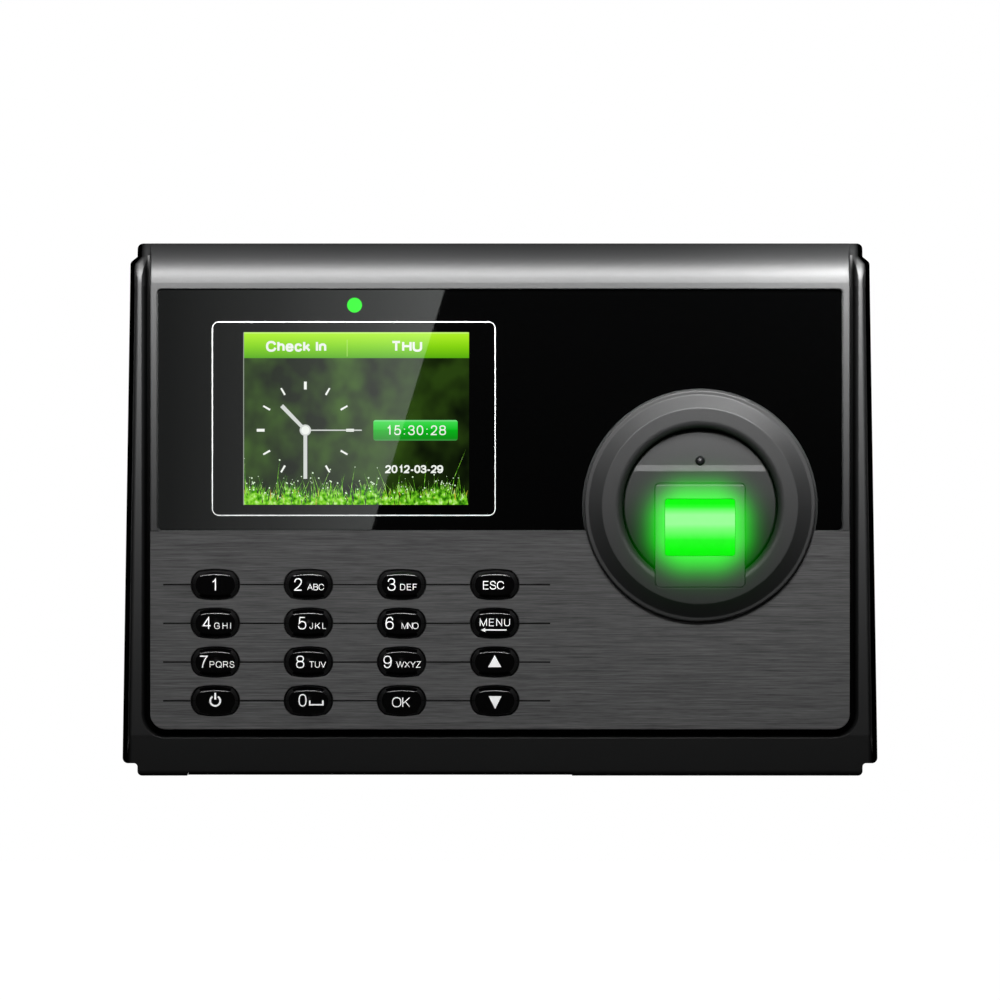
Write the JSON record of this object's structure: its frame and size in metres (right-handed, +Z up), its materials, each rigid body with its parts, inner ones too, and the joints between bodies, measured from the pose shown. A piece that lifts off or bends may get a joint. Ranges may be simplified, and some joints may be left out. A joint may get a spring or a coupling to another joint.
{
  "type": "fingerprint scanner terminal",
  "caption": "Wall-hung fingerprint scanner terminal: colour display behind a gloss window, key block, round finger sensor, slide-on wall plate.",
  "frame": {"origin": "centre of the wall plate's four-screw pattern, on the wall face", "axes": "+Y into the wall (the face looks along -Y), +X to the viewer's right, +Z up"},
  "size_m": [0.1928, 0.0394, 0.136],
  "materials": {
    "black_abs": "satin",
    "brushed_face": "brushed",
    "clear_window": "gloss",
    "window_print": "matte",
    "lcd_glass": "gloss",
    "light_guide": "gloss",
    "bright_steel": "satin",
    "board_green": "satin",
    "green_light": "gloss",
    "sensor_window": "gloss",
    "chip_black": "matte",
    "gloss_black": "gloss",
    "legend_print": "matte",
    "silicone": "matte",
    "connector_white": "satin",
    "flex_film": "satin",
    "port_metal": "satin",
    "header_green": "satin",
    "label_film": "satin",
    "plate_paint": "satin"
  },
  "bodies": {
    "wall_plate": {"wall_plate": "plate_paint"},
    "terminal": {"front_housing": "black_abs", "rear_cover": "black_abs", "sensor_ring": "black_abs", "finger_cradle": "black_abs", "sensor_bezel": "black_abs", "brushed_overlay": "brushed_face", "display_lens": "clear_window", "lens_mask": "window_print", "lcd_panel": "lcd_glass", "lcd_backlight": "light_guide", "lcd_frame": "bright_steel", "display_board": "board_green", "status_light": "green_light", "sensor_glass": "sensor_window", "sensor_block": "chip_black", "sensor_board": "board_green", "sensor_dome": "gloss_black", "keypad_mat": "silicone", "keypad_board": "board_green", "main_board": "board_green", "board_chips": "chip_black", "capacitors": "bright_steel", "flex_connectors": "connector_white", "lcd_flex": "flex_film", "keypad_flex": "flex_film", "sensor_cable": "connector_white", "coin_cell_holder": "chip_black", "coin_cell": "bright_steel", "buzzer": "chip_black", "tamper_switch": "chip_black", "reset_switch": "chip_black", "ethernet_jack": "port_metal", "usb_port": "port_metal", "dc_jack": "chip_black", "terminal_header": "header_green", "speaker": "chip_black", "rating_label": "label_film", "cover_screws": "bright_steel", "board_screws": "bright_steel"},
    "lock_screw": {"lock_screw": "bright_steel"},
    "tamper_plunger": {"tamper_plunger": "connector_white"},
    "reset_button": {"reset_button": "connector_white"},
    "key_1": {"key_1": "gloss_black"},
    "key_2": {"key_2": "gloss_black"},
    "key_3": {"key_3": "gloss_black"},
    "key_esc": {"key_esc": "gloss_black"},
    "key_4": {"key_4": "gloss_black"},
    "key_5": {"key_5": "gloss_black"},
    "key_6": {"key_6": "gloss_black"},
    "key_menu": {"key_menu": "gloss_black"},
    "key_7": {"key_7": "gloss_black"},
    "key_8": {"key_8": "gloss_black"},
    "key_9": {"key_9": "gloss_black"},
    "key_up": {"key_up": "gloss_black"},
    "key_power": {"key_power": "gloss_black"},
    "key_0": {"key_0": "gloss_black"},
    "key_ok": {"key_ok": "gloss_black"},
    "key_down": {"key_down": "gloss_black"}
  },
  "joints": [
    {"name": "terminal_lift", "type": "slide", "parent": "wall_plate", "child": "terminal", "axis": [0, 0, 1], "range_m": [0, 0.0065]},
    {"name": "lock_screw_out", "type": "slide", "parent": "wall_plate", "child": "lock_screw", "axis": [0, 0, -1], "range_m": [0, 0.01]},
    {"name": "tamper_press", "type": "slide", "parent": "terminal", "child": "tamper_plunger", "axis": [0, -1, 0], "range_m": [0, 0.0012], "stiffness_N_per_m": 150},
    {"name": "reset_press", "type": "slide", "parent": "terminal", "child": "reset_button", "axis": [0, 0, 1], "range_m": [0, 0.0005], "stiffness_N_per_m": 300},
    {"name": "key_1_press", "type": "slide", "parent": "terminal", "child": "key_1", "axis": [0, 1, 0], "range_m": [0, 0.001], "stiffness_N_per_m": 600, "deforming": ["keypad_mat"]},
    {"name": "key_2_press", "type": "slide", "parent": "terminal", "child": "key_2", "axis": [0, 1, 0], "range_m": [0, 0.001], "stiffness_N_per_m": 600, "deforming": ["keypad_mat"]},
    {"name": "key_3_press", "type": "slide", "parent": "terminal", "child": "key_3", "axis": [0, 1, 0], "range_m": [0, 0.001], "stiffness_N_per_m": 600, "deforming": ["keypad_mat"]},
    {"name": "key_esc_press", "type": "slide", "parent": "terminal", "child": "key_esc", "axis": [0, 1, 0], "range_m": [0, 0.001], "stiffness_N_per_m": 600, "deforming": ["keypad_mat"]},
    {"name": "key_4_press", "type": "slide", "parent": "terminal", "child": "key_4", "axis": [0, 1, 0], "range_m": [0, 0.001], "stiffness_N_per_m": 600, "deforming": ["keypad_mat"]},
    {"name": "key_5_press", "type": "slide", "parent": "terminal", "child": "key_5", "axis": [0, 1, 0], "range_m": [0, 0.001], "stiffness_N_per_m": 600, "deforming": ["keypad_mat"]},
    {"name": "key_6_press", "type": "slide", "parent": "terminal", "child": "key_6", "axis": [0, 1, 0], "range_m": [0, 0.001], "stiffness_N_per_m": 600, "deforming": ["keypad_mat"]},
    {"name": "key_menu_press", "type": "slide", "parent": "terminal", "child": "key_menu", "axis": [0, 1, 0], "range_m": [0, 0.001], "stiffness_N_per_m": 600, "deforming": ["keypad_mat"]},
    {"name": "key_7_press", "type": "slide", "parent": "terminal", "child": "key_7", "axis": [0, 1, 0], "range_m": [0, 0.001], "stiffness_N_per_m": 600, "deforming": ["keypad_mat"]},
    {"name": "key_8_press", "type": "slide", "parent": "terminal", "child": "key_8", "axis": [0, 1, 0], "range_m": [0, 0.001], "stiffness_N_per_m": 600, "deforming": ["keypad_mat"]},
    {"name": "key_9_press", "type": "slide", "parent": "terminal", "child": "key_9", "axis": [0, 1, 0], "range_m": [0, 0.001], "stiffness_N_per_m": 600, "deforming": ["keypad_mat"]},
    {"name": "key_up_press", "type": "slide", "parent": "terminal", "child": "key_up", "axis": [0, 1, 0], "range_m": [0, 0.001], "stiffness_N_per_m": 600, "deforming": ["keypad_mat"]},
    {"name": "key_power_press", "type": "slide", "parent": "terminal", "child": "key_power", "axis": [0, 1, 0], "range_m": [0, 0.001], "stiffness_N_per_m": 600, "deforming": ["keypad_mat"]},
    {"name": "key_0_press", "type": "slide", "parent": "terminal", "child": "key_0", "axis": [0, 1, 0], "range_m": [0, 0.001], "stiffness_N_per_m": 600, "deforming": ["keypad_mat"]},
    {"name": "key_ok_press", "type": "slide", "parent": "terminal", "child": "key_ok", "axis": [0, 1, 0], "range_m": [0, 0.001], "stiffness_N_per_m": 600, "deforming": ["keypad_mat"]},
    {"name": "key_down_press", "type": "slide", "parent": "terminal", "child": "key_down", "axis": [0, 1, 0], "range_m": [0, 0.001], "stiffness_N_per_m": 600, "deforming": ["keypad_mat"]}
  ]
}
